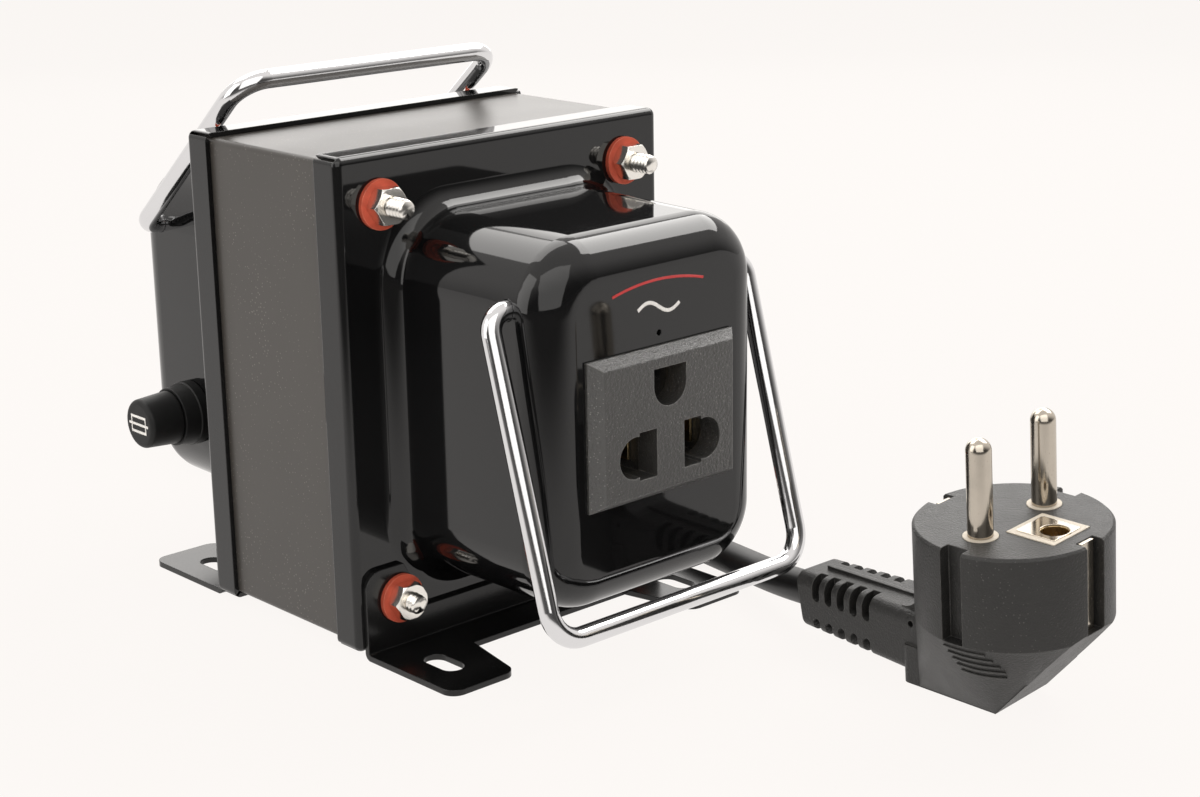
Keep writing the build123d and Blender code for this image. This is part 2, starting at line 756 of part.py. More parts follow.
# Cord, as points chosen along the floor and down from the relief
coil_left, coil_right = coil_x - coil_radius, coil_x + coil_radius
exit_run = [
    (relief_x, fuse_back, fuse_z), (85.5, fuse_back, fuse_z), (coil_right, 70.0, 24.0),
    (coil_right, 92.0, cord_radius + coil_rise), (coil_right, coil_y, cord_radius + coil_rise)]
plug_lift = heel_half_width * sin(radians(plug_roll))
plug_spot = Pos(plug_x, plug_y, plug_lift) * Rot(0, -plug_roll, 0)
neck_end = Vector(0, neck_reach, neck_end_middle)
plug_run = [
    tuple((plug_spot * Pos(*neck_end)).position), (36.3, -69.5, 7.4), (45.5, -45.0, 3.9),
    (51.0, -6.0, cord_radius), (54.0, 49.9, cord_radius), (coil_left, 85.4, cord_radius),
    (coil_left, coil_y, cord_radius)]


def cord_tube(points, name):
    """Straight runs joined by tangent arcs, each arc as large as its runs allow"""
    runs = [Vector(*b) - Vector(*a) for a, b in zip(points, points[1:])]
    rooms = [run.length for run in runs]
    rooms[0] *= 2
    rooms[-1] *= 2
    radii = []
    for i in range(len(runs) - 1):
        half_turn = radians(runs[i].get_angle(runs[i + 1])) / 2
        radii.append(arc_share * min(rooms[i], rooms[i + 1]) / tan(half_turn))
    print(name, "radii", [round(r, 1) for r in radii])
    path = FilletPolyline(*points, radius=radii)
    start = Plane(origin=points[0], z_dir=path % 0)
    tube = sweep(start * Circle(cord_radius), path)
    print(name, "length", round(path.length, 1), "filled", filled_share(tube, path))
    return tube, path.length


def filled_share(tube, path):
    """Volume of a tube over its section times its length: 1 where it runs clean"""
    return round(tube.volume / (pi * cord_radius ** 2 * path.length), 4)


def biarc(start, heading, end, end_heading):
    """Two arcs that leave and arrive along given headings"""
    v = end - start
    t = heading + end_heading
    spread = 2 * (1 - heading.dot(end_heading))
    reach = (-v.dot(t) + sqrt(v.dot(t) ** 2 + spread * v.dot(v))) / spread
    middle = (start + end + (heading - end_heading) * reach) * 0.5
    along = ((end - end_heading * reach) - (start + heading * reach)).normalized()
    return [TangentArc(start, middle, tangent=heading), TangentArc(middle, end, tangent=along)]


def make_coil():
    """Two layers: inward on the floor, one half turn that climbs, and outward on top"""
    arcs = []
    x = coil_x - coil_radius
    z = cord_radius
    side = 1
    radii = [coil_radius - i * coil_pitch / 2 for i in range(coil_half_turns)]
    radii = radii + [radii[-1] - coil_pitch / 2] + radii[::-1]
    for i, radius in enumerate(radii):
        start = Vector(x, coil_y, z)
        if i == coil_half_turns:
            z += coil_rise
        x += side * 2 * radius
        arcs += biarc(start, Vector(0, side, 0), Vector(x, coil_y, z), Vector(0, -side, 0))
        side = -side
    path = Wire(arcs)
    start = Plane(origin=path @ 0, z_dir=path % 0)
    coil = sweep(start * Circle(cord_radius), path)
    print("coil length", round(path.length, 1), "filled", filled_share(coil, path))
    print("coil ends", path @ 0, path @ 1, "headings", path % 0, path % 1)
    print("coil least gap to itself", round(least_self_gap(path), 2))
    return coil, path.length


def least_self_gap(path):
    """Least gap between turns of the cord, for places a coil's width or more apart along it"""
    points = [path @ (i / coil_samples) for i in range(coil_samples + 1)]
    step = path.length / coil_samples
    apart = int(2 * coil_radius / step)
    gaps = [(a - b).length for i, a in enumerate(points) for b in points[i + apart:]]
    return min(gaps) - 2 * cord_radius


def make_relief():
    """Grommet in the wall with a grooved taper outside"""
    wall_in = fuse_wall - cover_sheet - seat_fit
    seat = fuse_wall + seat_fit
    foot = seat + relief_flange
    shoulder = wall_in - relief_shoulder
    relief = rod_x(shoulder, shoulder - relief_inside, relief_neck_radius, fuse_back, fuse_z)
    relief += rod_x(wall_in, shoulder, relief_root_radius, fuse_back, fuse_z)
    relief += rod_x(wall_in, seat, relief_neck_radius, fuse_back, fuse_z)
    relief += rod_x(seat, foot, relief_flange_radius, fuse_back, fuse_z)
    taper = Cone(relief_root_radius, relief_tip_radius, relief_x - foot)
    relief += Pos((foot + relief_x) / 2, fuse_back, fuse_z) * Rot(0, 90, 0) * taper
    pitch = (relief_x - foot) / (relief_grooves + 1)
    core = cord_radius + relief_groove_depth / 2
    for i in range(relief_grooves):
        x = foot + (i + 1) * pitch
        cut = rod_x(x - relief_groove / 2, x + relief_groove / 2, relief_flange_radius, fuse_back, fuse_z)
        fall = (relief_root_radius - relief_tip_radius) * (i + 1) / (relief_grooves + 1)
        keep = relief_root_radius - fall - relief_groove_depth
        relief -= cut - rod_x(x - relief_groove, x + relief_groove, max(keep, core), fuse_back, fuse_z)
    return relief


# Plug, in its own frame: pins along Z about the origin, neck towards +Y
def plug_place(part):
    """Puts a piece of the plug where the plug lies"""
    return plug_spot * part


def make_plug_body():
    """Round body on a tapering skirt, cut off at a slant, with a narrow heel and a ribbed neck"""
    round_height = plug_height - skirt_top
    body = Pos(0, 0, skirt_top + round_height / 2) * Cylinder(plug_radius, round_height)
    body = chamfer(body.edges().group_by(Axis.Z)[-1], plug_edge)
    skirt_height = skirt_top - skirt_foot
    skirt = Cone(heel_half_width, plug_radius, skirt_height)
    body += Pos(0, 0, skirt_foot + skirt_height / 2) * skirt
    heel_length = plug_radius + heel_reach
    heel = Box(2 * heel_half_width, heel_length, heel_block)
    heel = fillet(heel.edges().filter_by(Axis.Z).group_by(Axis.Y)[-1], heel_edge)
    body += Pos(0, heel_reach - heel_length / 2, heel_block / 2) * heel
    wide = plug_radius + overrun
    slant = [
        (-wide, slant_steepness * (wide - slant_foot)), (-slant_foot, 0), (-slant_foot, -overrun),
        (-wide, -overrun)]
    body -= extrude(Plane.YZ.offset(-wide) * make_face(Polyline(*slant, close=True)), 2 * wide)
    body += make_plug_neck()
    for side in (-1, 1):
        groove = Box(2 * groove_depth, groove_width, plug_height)
        body -= Pos(side * plug_radius, 0, skirt_top + plug_height / 2) * groove
        recess = Box(clip_recess_width, 2 * clip_recess_depth, plug_height)
        body -= Pos(0, side * plug_radius, clip_floor + plug_height / 2) * recess
        x = side * pin_spacing / 2
        body -= Pos(x, 0, plug_height) * Cylinder(collar_ring_radius + pin_fit, 2 * collar_ring_depth)
        body -= Pos(x, 0, plug_height) * Cylinder(pin_root_radius + pin_fit, 2 * pin_root)
    pocket = Box(insert_width + 2 * insert_fit, insert_length + 2 * insert_fit, 2 * insert_depth)
    return body - Pos(0, -insert_y, plug_height) * pocket


cord_heading = (Vector(*plug_run[1]) - Vector(*plug_run[0])).normalized()
neck_heading = (Rot(0, plug_roll, 0) * Pos(*cord_heading)).position


def make_plug_neck():
    """Tapering neck with a spine on top and slots through its edges, ending square to the cord"""
    middle = neck_bottom + neck_height / 2
    top = neck_bottom + neck_height
    root_plane = Plane(origin=(0, neck_start, middle), x_dir=(1, 0, 0), z_dir=(0, 1, 0))
    side_dir = neck_heading.cross(Vector(0, 0, 1)).normalized()
    end_plane = Plane(origin=neck_end, x_dir=side_dir, z_dir=neck_heading)
    neck = loft([
        root_plane * RectangleRounded(neck_width, neck_height, neck_corner),
        end_plane * RectangleRounded(neck_end_width, neck_end_height, neck_corner)])
    spine_end = rib_start + rib_slots * rib_pitch - rib_slot_width
    spine_height = spine_top - middle
    spine = Box(spine_width, spine_end - neck_start, spine_height)
    neck += Pos(0, (neck_start + spine_end) / 2, spine_top - spine_height / 2) * spine
    saddle_y = plug_radius + neck_saddle
    saddle_width = neck_width - 2 * neck_corner
    saddle = Box(saddle_width, saddle_y - neck_start, neck_saddle + neck_corner)
    saddle = Pos(0, (neck_start + saddle_y) / 2, top + (neck_saddle - neck_corner) / 2) * saddle
    saddle -= Pos(0, saddle_y, top + neck_saddle) * Rot(0, 90, 0) * Cylinder(neck_saddle, neck_width)
    neck += saddle
    for i in range(rib_slots):
        y = rib_start + i * rib_pitch
        for side in (-1, 1):
            out = Pos(side * (rib_web + neck_width) / 2, y, 0)
            slot = Box(neck_width, rib_slot_width, neck_height)
            end = Rot(0, 90, 0) * Cylinder(rib_slot_width / 2, neck_width)
            foot = upper_slot_foot + rib_slot_width / 2
            neck -= out * (Pos(0, 0, foot + neck_height / 2) * slot + Pos(0, 0, foot) * end)
            head = lower_slot_top - rib_slot_width / 2
            neck -= out * (Pos(0, 0, head - neck_height / 2) * slot + Pos(0, 0, head) * end)
    dimple = Rot(0, 90, 0) * Cylinder(dimple_radius, 2 * dimple_depth)
    return neck - Pos(-neck_width / 2, dimple_y, dimple_z) * dimple


def make_plug_pins():
    """Two round pins with domed ends, their roots thinner inside the body"""
    foot = plug_height + collar_ring_rise + pin_root_lift
    tip = plug_height + pin_length
    pins = []
    for side in (-1, 1):
        pin = Pos(0, 0, (foot + tip) / 2) * Cylinder(pin_radius, tip - foot)
        pin = fillet(pin.edges().group_by(Axis.Z)[-1], pin_radius - pin_fit)
        root_start = plug_height - pin_root
        pin += Pos(0, 0, (root_start + foot) / 2) * Cylinder(pin_root_radius, foot - root_start)
        pins.append(plug_place(Pos(side * pin_spacing / 2, 0, 0) * pin))
    return Compound(pins)


def make_plug_collars():
    """Pale collars at the foot of the pins"""
    rings = []
    for side in (-1, 1):
        height = collar_ring_depth + collar_ring_rise
        ring = Cylinder(collar_ring_radius, height) - Cylinder(pin_root_radius + pin_fit, height + overrun)
        place = Pos(side * pin_spacing / 2, 0, plug_height + collar_ring_rise - height / 2)
        rings.append(plug_place(place * ring))
    return Compound(rings)


def make_plug_earth():
    """Pale insert with its socket tube, and the two clips in the side recesses"""
    insert = Box(insert_width, insert_length, insert_depth)
    hole = Cylinder(earth_hole_radius + earth_tube_wall + pin_fit, insert_depth + overrun)
    insert -= Pos(0, insert_y - earth_hole_y, 0) * hole
    insert = Pos(0, -insert_y, plug_height + collar_ring_rise - insert_depth / 2) * insert
    tube = Cylinder(earth_hole_radius + earth_tube_wall, insert_depth - collar_ring_rise)
    tube -= Pos(0, 0, earth_tube_wall) * Cylinder(earth_hole_radius, insert_depth - collar_ring_rise)
    tube = Pos(0, -earth_hole_y, plug_height - (insert_depth - collar_ring_rise) / 2) * tube
    clips = []
    for side in (-1, 1):
        height = plug_height - clip_floor - collar_ring_rise
        y = side * (plug_radius - clip_recess_depth + clip_sheet / 2 + pin_fit)
        clips.append(plug_place(Pos(0, y, clip_floor + height / 2) * Box(clip_width, clip_sheet, height)))
    return plug_place(insert), plug_place(tube), Compound(clips)


def save(name, part):
    """Moves a piece to the part's own origin and writes it"""
    export_step(Pos(shift_x, shift_y, 0) * part, "parts/" + name + ".step")


pressing = make_pressing()
e_stack, i_stack = make_laminations()
bobbin, wound = make_bobbin_and_windings()
bracket = make_bracket()
socket_back, socket_contacts, socket_earth, tail_reach = make_socket_inside()
barrel, barrel_nut = make_fuse_barrel()
glass, fuse_ends, fuse_wire = make_fuse()
terminals, end_tab, side_tab = make_fuse_terminals()
output_leads, earth_lead = make_output_leads(tail_reach)
supply_leads, fused_lead = make_supply_leads(end_tab, side_tab)
insert, earth_tube, clips = make_plug_earth()
exit_tube, exit_length = cord_tube(exit_run, "cord at the relief")
plug_tube, plug_length = cord_tube(plug_run, "cord at the plug")
coil, coil_length = make_coil()
print("cord length", round(exit_length + plug_length + coil_length, 1))
print("shift", round(shift_x, 4), round(shift_y, 4), "middle height", round(mid_z, 4))

save("front_cover", make_front_cover(pressing))
save("rear_cover", make_rear_cover(pressing))
save("body_band", make_band())
save("front_bracket", bracket)
save("rear_bracket", turned(bracket))
save("through_bolts", make_bolts())
save("bolt_nuts", make_nuts())
save("front_washers", make_washers(-1))
save("rear_washers", make_washers(1))
save("core_e_laminations", e_stack)
save("core_i_laminations", i_stack)
save("bobbin", bobbin)
winding_names = ("primary_winding", "winding_insulation", "secondary_winding", "winding_tape")
for name, layer in zip(winding_names, wound):
    save(name, layer)
save("socket_face", make_socket_face())
save("socket_back", socket_back)
save("socket_contacts", socket_contacts)
save("socket_earth_contact", socket_earth)
save("fuse_barrel", barrel)
save("fuse_barrel_nut", barrel_nut)
save("fuse_cap", make_fuse_cap())
save("fuse_carrier", make_fuse_carrier())
save("fuse_glass", glass)
save("fuse_end_caps", fuse_ends)
save("fuse_wire", fuse_wire)
save("fuse_terminals", terminals)
save("output_leads", output_leads)
save("earth_lead", earth_lead)
save("supply_leads", supply_leads)
save("fused_lead", fused_lead)
save("front_handle", make_handle(-pivot_reach, -front_out, -front_down))
rear_out, rear_up = -rear_leg * cos(rear_rise), rear_leg * sin(rear_rise)
save("rear_handle", make_handle(pivot_reach, rear_out, rear_up))
save("front_handle_retainers", make_retainers(-pivot_reach))
save("rear_handle_retainers", make_retainers(pivot_reach))
save("cord_relief", make_relief())
save("cord_exit_run", exit_tube)
save("cord_plug_run", plug_tube)
save("cord_coil", coil)
save("plug_body", plug_place(make_plug_body()))
save("plug_pins", make_plug_pins())
save("plug_collars", make_plug_collars())
save("plug_earth_insert", insert)
save("plug_earth_tube", earth_tube)
save("plug_earth_clips", clips)
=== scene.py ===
import json
from math import atan2, cos, hypot, pi, radians, sin, sqrt
import bpy
import bmesh
from mathutils import Matrix, Vector
from mathutils.bvhtree import BVHTree

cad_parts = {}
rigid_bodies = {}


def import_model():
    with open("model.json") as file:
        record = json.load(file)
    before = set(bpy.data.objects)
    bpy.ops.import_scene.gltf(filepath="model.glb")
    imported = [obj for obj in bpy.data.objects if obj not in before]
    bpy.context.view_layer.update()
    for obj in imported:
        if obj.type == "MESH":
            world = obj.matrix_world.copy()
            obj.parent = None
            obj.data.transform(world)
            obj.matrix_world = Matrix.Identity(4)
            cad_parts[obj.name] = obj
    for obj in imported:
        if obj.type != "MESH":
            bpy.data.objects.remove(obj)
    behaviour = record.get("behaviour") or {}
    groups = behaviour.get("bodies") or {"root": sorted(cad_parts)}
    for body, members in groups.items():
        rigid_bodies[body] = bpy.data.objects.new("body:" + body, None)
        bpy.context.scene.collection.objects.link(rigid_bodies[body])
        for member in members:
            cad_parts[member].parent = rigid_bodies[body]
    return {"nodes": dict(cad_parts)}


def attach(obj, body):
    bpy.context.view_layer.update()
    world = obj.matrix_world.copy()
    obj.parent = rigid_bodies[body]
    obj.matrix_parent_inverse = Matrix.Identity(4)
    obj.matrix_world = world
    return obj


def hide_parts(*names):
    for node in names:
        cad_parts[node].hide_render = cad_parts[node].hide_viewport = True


for leftover in list(bpy.data.objects):
    bpy.data.objects.remove(leftover)
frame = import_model()
bpy.context.view_layer.update()
cadNodes = frame["nodes"]
print("frame loaded,", len(cadNodes), "nodes")

middleX, middleY = 0.7293, 4.175  # the converter's middle in the shared frame, mm


def spot(x, y, z):
    # a place given in mm from the converter's middle, on the floor
    return Vector(((x + middleX) / 1000, (y + middleY) / 1000, z / 1000))


def mm(value):
    return value / 1000


# Camera
cameraView = dict(x=-290.39, y=-369.48, z=175.28, yaw=42.46, pitch=16.07, roll=-1.0, lens=68.12,
                  sensor=36, near=0.01)
cameraData = bpy.data.cameras.new("photoCamera")
cameraData.sensor_width = cameraView["sensor"]
cameraData.sensor_fit = "HORIZONTAL"
cameraData.lens = cameraView["lens"]
cameraData.clip_start = cameraView["near"]
camera = bpy.data.objects.new("photoCamera", cameraData)
bpy.context.scene.collection.objects.link(camera)
turnToView = (Matrix.Rotation(-radians(cameraView["yaw"]), 4, "Z")
              @ Matrix.Rotation(radians(90 - cameraView["pitch"]), 4, "X")
              @ Matrix.Rotation(radians(cameraView["roll"]), 4, "Z"))
cameraPlace = spot(cameraView["x"], cameraView["y"], cameraView["z"])
camera.matrix_world = Matrix.Translation(cameraPlace) @ turnToView
bpy.context.scene.camera = camera

# Cord: relief, down to the coil behind, inward on top, outward on the floor, and round to the plug
cordSizes = dict(diameter=7.0, length=1337.0, coilX=62.0, coilY=105.0, coilRadius=43.5, pitch=7.5,
                 floorZ=3.5, topZ=11.0, halfTurns=9, pointsPerHalf=12)
reliefEnd = [(54.3, 50.0, 34.0), (85.5, 50.0, 34.0), (105.5, 70.0, 24.0), (105.5, 92.0, 11.0)]
plugEnd = [(18.5, 85.4, 3.5), (54.0, 49.9, 3.5), (51.0, -6.0, 3.5), (45.5, -45.0, 3.9),
           (36.3, -69.5, 7.4), (34.347, -80.6, 9.032)]


def coilTurns(c):
    # half turns that shrink to the inner one, which comes down to the floor, and grow again
    x, side, points = c["coilX"] + c["coilRadius"], 1, []
    climb = c["halfTurns"] // 2
    for half in range(c["halfTurns"]):
        radius = c["coilRadius"] - c["pitch"] / 2 * (climb - abs(half - climb))
        middle = x - side * radius
        for step in range(c["pointsPerHalf"]):
            share = (step + 0.5) / c["pointsPerHalf"]
            z = c["topZ"] if half < climb else c["floorZ"]
            if half == climb:
                z = c["topZ"] + (c["floorZ"] - c["topZ"]) * share * share * (3 - 2 * share)
            turn = pi * share
            points.append((middle + side * radius * cos(turn), c["coilY"] + side * radius * sin(turn), z))
        x = middle - side * radius
        side = -side
    return points


cordRoute = reliefEnd + coilTurns(cordSizes) + plugEnd
cordCurve = bpy.data.curves.new("cordLine", "CURVE")
cordCurve.dimensions = "3D"
cordSpline = cordCurve.splines.new("NURBS")
cordSpline.points.add(len(cordRoute) - 1)
for point, place in zip(cordSpline.points, cordRoute):
    point.co = (*spot(*place), 1)
cordSpline.order_u = 3
cordSpline.use_endpoint_u = True
cordSpline.resolution_u = 6
cordCurve.bevel_depth = mm(cordSizes["diameter"] / 2)
cordCurve.bevel_resolution = 6
cordCurve.use_fill_caps = True
cordLine = bpy.data.objects.new("cordLine", cordCurve)
bpy.context.scene.collection.objects.link(cordLine)
print("camera and cord placed")


# Shared node groups: they only put out masks, heights and normals
def newGroup(name, inputs, outputs):
    tree = bpy.data.node_groups.new(name, "ShaderNodeTree")
    for label, kind, value in inputs:
        socket = tree.interface.new_socket(name=label, in_out="INPUT", socket_type=kind)
        if value is not None:
            socket.default_value = value
    for label, kind in outputs:
        tree.interface.new_socket(name=label, in_out="OUTPUT", socket_type=kind)
    return tree, tree.nodes.new("NodeGroupInput"), tree.nodes.new("NodeGroupOutput")


def addNode(tree, kind, values=None, **settings):
    node = tree.nodes.new(kind)
    for key, value in settings.items():
        setattr(node, key, value)
    for key, value in (values or {}).items():
        node.inputs[key].default_value = value
    return node


def mathNode(tree, operation, a, b=None, clamp=False):
    # a and b are numbers or sockets
    node = addNode(tree, "ShaderNodeMath", operation=operation, use_clamp=clamp)
    for i, value in enumerate((a, b)):
        if isinstance(value, (int, float)):
            node.inputs[i].default_value = value
        elif value is not None:
            tree.links.new(value, node.inputs[i])
    return node.outputs[0]


def rangeNode(tree, low, high, first, last, **settings):
    # turns low to high into first to last and holds both ends
    return addNode(tree, "ShaderNodeMapRange", {1: low, 2: high, 3: first, 4: last}, **settings)


def mixColour(tree, share, first, second):
    # from the first to the second by the share; both are colours or sockets
    node = addNode(tree, "ShaderNodeMix", data_type="RGBA")
    tree.links.new(share, node.inputs[0])
    for place, colour in ((6, first), (7, second)):
        if isinstance(colour, tuple):
            node.inputs[place].default_value = (*colour, 1)
        else:
            tree.links.new(colour, node.inputs[place])
    return node.outputs[2]


def newMaterial(name, values):
    # a material with its tree and its shader, set to these values
    material = bpy.data.materials.new(name)
    material.use_nodes = True
    shader = material.node_tree.nodes["Principled BSDF"]
    for label, value in values.items():
        shader.inputs[label].default_value = value
    return material, material.node_tree, shader


def makeGrainGroup():
    # fine and coarse noise together, for moulded, sprayed or rubbed surfaces
    tree, start, end = newGroup(
        "surfaceGrain",
        [("Vector", "NodeSocketVector", None), ("Fine Scale", "NodeSocketFloat", 900.0),
         ("Coarse Scale", "NodeSocketFloat", 60.0), ("Fine Share", "NodeSocketFloat", 0.6)],
        [("Height", "NodeSocketFloat"), ("Tone", "NodeSocketFloat")])
    fine = addNode(tree, "ShaderNodeTexNoise", {"Detail": 3.0, "Roughness": 0.6})
    coarse = addNode(tree, "ShaderNodeTexNoise", {"Detail": 4.0, "Roughness": 0.55})
    both = addNode(tree, "ShaderNodeMix", data_type="FLOAT")
    for node, scale in ((fine, "Fine Scale"), (coarse, "Coarse Scale")):
        tree.links.new(start.outputs["Vector"], node.inputs["Vector"])
        tree.links.new(start.outputs[scale], node.inputs["Scale"])
    tree.links.new(start.outputs["Fine Share"], both.inputs[0])
    tree.links.new(coarse.outputs["Fac"], both.inputs[2])
    tree.links.new(fine.outputs["Fac"], both.inputs[3])
    tree.links.new(both.outputs[0], end.inputs["Height"])
    tree.links.new(coarse.outputs["Fac"], end.inputs["Tone"])
    return tree


def makeEdgeGroup():
    # rounds hard edges for the light and masks them in patches, for rubbed wear and, on the socket, a painted
    # highlight on the rims
    tree, start, end = newGroup(
        "edgeWearAndHighlight",
        [("Vector", "NodeSocketVector", None), ("Radius", "NodeSocketFloat", 0.0004),
         ("Gain", "NodeSocketFloat", 3.0)],
        [("Mask", "NodeSocketFloat"), ("Normal", "NodeSocketVector")])
    rounded = addNode(tree, "ShaderNodeBevel", samples=6)
    flat = addNode(tree, "ShaderNodeNewGeometry")
    along = addNode(tree, "ShaderNodeVectorMath", operation="DOT_PRODUCT")
    patches = addNode(tree, "ShaderNodeTexNoise", {"Scale": 400.0, "Detail": 3.0})
    spread = rangeNode(tree, 0.35, 0.65, 0.25, 1.0)
    tree.links.new(start.outputs["Radius"], rounded.inputs["Radius"])
    tree.links.new(rounded.outputs["Normal"], along.inputs[0])
    tree.links.new(flat.outputs["Normal"], along.inputs[1])
    tree.links.new(start.outputs["Vector"], patches.inputs["Vector"])
    tree.links.new(patches.outputs["Fac"], spread.inputs[0])
    away = mathNode(tree, "SUBTRACT", 1.0, along.outputs["Value"])
    gained = mathNode(tree, "MULTIPLY", away, start.outputs["Gain"])
    wearAndHighlight = mathNode(tree, "MULTIPLY", gained, spread.outputs[0], clamp=True)
    tree.links.new(wearAndHighlight, end.inputs["Mask"])
    tree.links.new(rounded.outputs["Normal"], end.inputs["Normal"])
    return tree


def makeDustGroup():
    # small specks, more of them where the coarse noise is high
    tree, start, end = newGroup(
        "dustSpecks",
        [("Vector", "NodeSocketVector", None), ("Scale", "NodeSocketFloat", 900.0),
         ("Size", "NodeSocketFloat", 0.12)],
        [("Mask", "NodeSocketFloat")])
    cells = addNode(tree, "ShaderNodeTexVoronoi", {"Randomness": 1.0})
    drift = addNode(tree, "ShaderNodeTexNoise", {"Scale": 70.0, "Detail": 2.0})
    tree.links.new(start.outputs["Vector"], cells.inputs["Vector"])
    tree.links.new(start.outputs["Scale"], cells.inputs["Scale"])
    tree.links.new(start.outputs["Vector"], drift.inputs["Vector"])
    limit = mathNode(tree, "MULTIPLY", start.outputs["Size"], drift.outputs["Fac"])
    inside = mathNode(tree, "LESS_THAN", cells.outputs["Distance"], limit)
    tree.links.new(inside, end.inputs["Mask"])
    return tree


grainGroup, edgeGroup, dustGroup = makeGrainGroup(), makeEdgeGroup(), makeDustGroup()


def makeFinish(name, colour, rough, metal=0.0, specular=0.5, fine=900.0, coarse=60.0, fineShare=0.6,
               bump=0.1, depth=0.05, tone=0.15, roughSpread=0.08, edgeColour=None, edgeGain=3.0,
               edgeRadius=0.3, dustColour=None, dustScale=900.0, dustSize=0.1):
    # an opaque finish on Object coordinates, with grain, edges in their own colour (rubbed wear, and on the
    # socket a painted highlight) and dust
    material, tree, shader = newMaterial(
        name, {"Metallic": metal, "Specular IOR Level": specular, "IOR": 1.5})
    coordinates = addNode(tree, "ShaderNodeTexCoord")
    grain = addNode(tree, "ShaderNodeGroup",
                    {"Fine Scale": fine, "Coarse Scale": coarse, "Fine Share": fineShare},
                    node_tree=grainGroup)
    edge = addNode(tree, "ShaderNodeGroup", {"Radius": mm(edgeRadius), "Gain": edgeGain},
                   node_tree=edgeGroup)
    for group in (grain, edge):
        tree.links.new(coordinates.outputs["Object"], group.inputs["Vector"])
    darker = tuple(c * (1 - tone) for c in colour)
    paler = tuple(min(1.0, c * (1 + tone)) for c in colour)
    painted = mixColour(tree, grain.outputs["Tone"], darker, paler)
    if edgeColour:
        painted = mixColour(tree, edge.outputs["Mask"], painted, edgeColour)
    if dustColour:
        dust = addNode(tree, "ShaderNodeGroup", {"Scale": dustScale, "Size": dustSize},
                       node_tree=dustGroup)
        tree.links.new(coordinates.outputs["Object"], dust.inputs["Vector"])
        painted = mixColour(tree, dust.outputs["Mask"], painted, dustColour)
    tree.links.new(painted, shader.inputs["Base Color"])
    roughness = rangeNode(tree, 0.0, 1.0, max(0.02, rough - roughSpread), min(1.0, rough + roughSpread))
    tree.links.new(grain.outputs["Tone"], roughness.inputs[0])
    tree.links.new(roughness.outputs[0], shader.inputs["Roughness"])
    relief = addNode(tree, "ShaderNodeBump", {"Strength": bump, "Distance": mm(depth)})
    tree.links.new(grain.outputs["Height"], relief.inputs["Height"])
    tree.links.new(edge.outputs["Normal"], relief.inputs["Normal"])
    tree.links.new(relief.outputs["Normal"], shader.inputs["Normal"])
    return material


def makeGlass(name):
    # plain glass tube with a little haze in its roughness
    material, tree, shader = newMaterial(
        name, {"Base Color": (0.95, 0.97, 0.96, 1), "Transmission Weight": 1.0, "IOR": 1.5})
    coordinates = addNode(tree, "ShaderNodeTexCoord")
    grain = addNode(tree, "ShaderNodeGroup", node_tree=grainGroup)
    haze = rangeNode(tree, 0.0, 1.0, 0.02, 0.1)
    tree.links.new(coordinates.outputs["Object"], grain.inputs["Vector"])
    tree.links.new(grain.outputs["Tone"], haze.inputs[0])
    tree.links.new(haze.outputs[0], shader.inputs["Roughness"])
    return material


